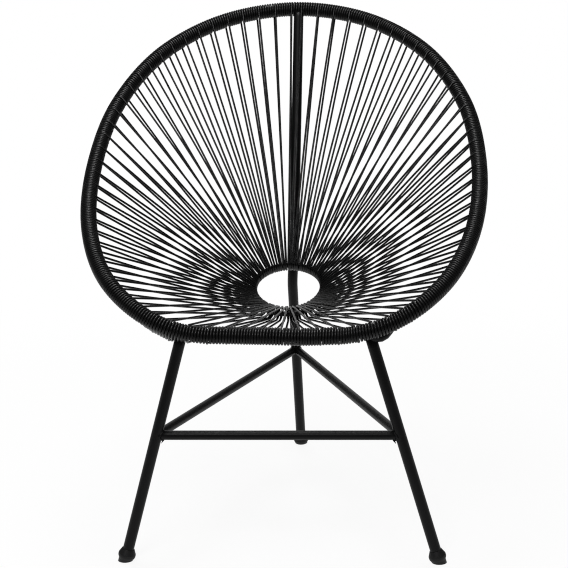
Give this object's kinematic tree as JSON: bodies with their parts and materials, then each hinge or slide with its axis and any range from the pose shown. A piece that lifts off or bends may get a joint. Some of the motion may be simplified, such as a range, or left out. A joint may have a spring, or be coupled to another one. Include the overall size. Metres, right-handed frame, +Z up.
{
  "type": "acapulco chair",
  "caption": "Round outdoor lounge chair: a raked, cord-wound rim on splayed tube legs, with a bowl seat strung in taut cord to a small central ring.",
  "frame": {"origin": "middle of the overall box, on the floor", "axes": "+X to the right for someone who faces the chair, +Y from the front of the seat to the back, +Z up"},
  "size_m": [0.7194, 0.7472, 0.8926],
  "materials": {
    "frame_enamel": "satin black powder coat",
    "seat_cord": "smooth black plastic cord with a soft shine",
    "foot_cap": "moulded black plastic, matt"
  },
  "bodies": {
    "root": {"rim_tube": "frame_enamel", "front_rail": "frame_enamel", "rear_leg": "frame_enamel", "front_crossbar": "frame_enamel", "hub_ring": "frame_enamel", "front_leg_left": "frame_enamel", "stretcher_left": "frame_enamel", "gusset_left": "frame_enamel", "foot_cap_left": "foot_cap", "front_leg_right": "frame_enamel", "stretcher_right": "frame_enamel", "gusset_right": "frame_enamel", "foot_cap_right": "foot_cap", "foot_cap_rear": "foot_cap", "seat_cord_01": "seat_cord", "seat_cord_02": "seat_cord", "seat_cord_03": "seat_cord", "seat_cord_04": "seat_cord", "seat_cord_05": "seat_cord", "seat_cord_06": "seat_cord", "seat_cord_07": "seat_cord", "seat_cord_08": "seat_cord", "seat_cord_09": "seat_cord", "seat_cord_10": "seat_cord", "seat_cord_11": "seat_cord", "seat_cord_12": "seat_cord", "seat_cord_13": "seat_cord", "seat_cord_14": "seat_cord", "seat_cord_15": "seat_cord", "seat_cord_16": "seat_cord"}
  },
  "joints": []
}
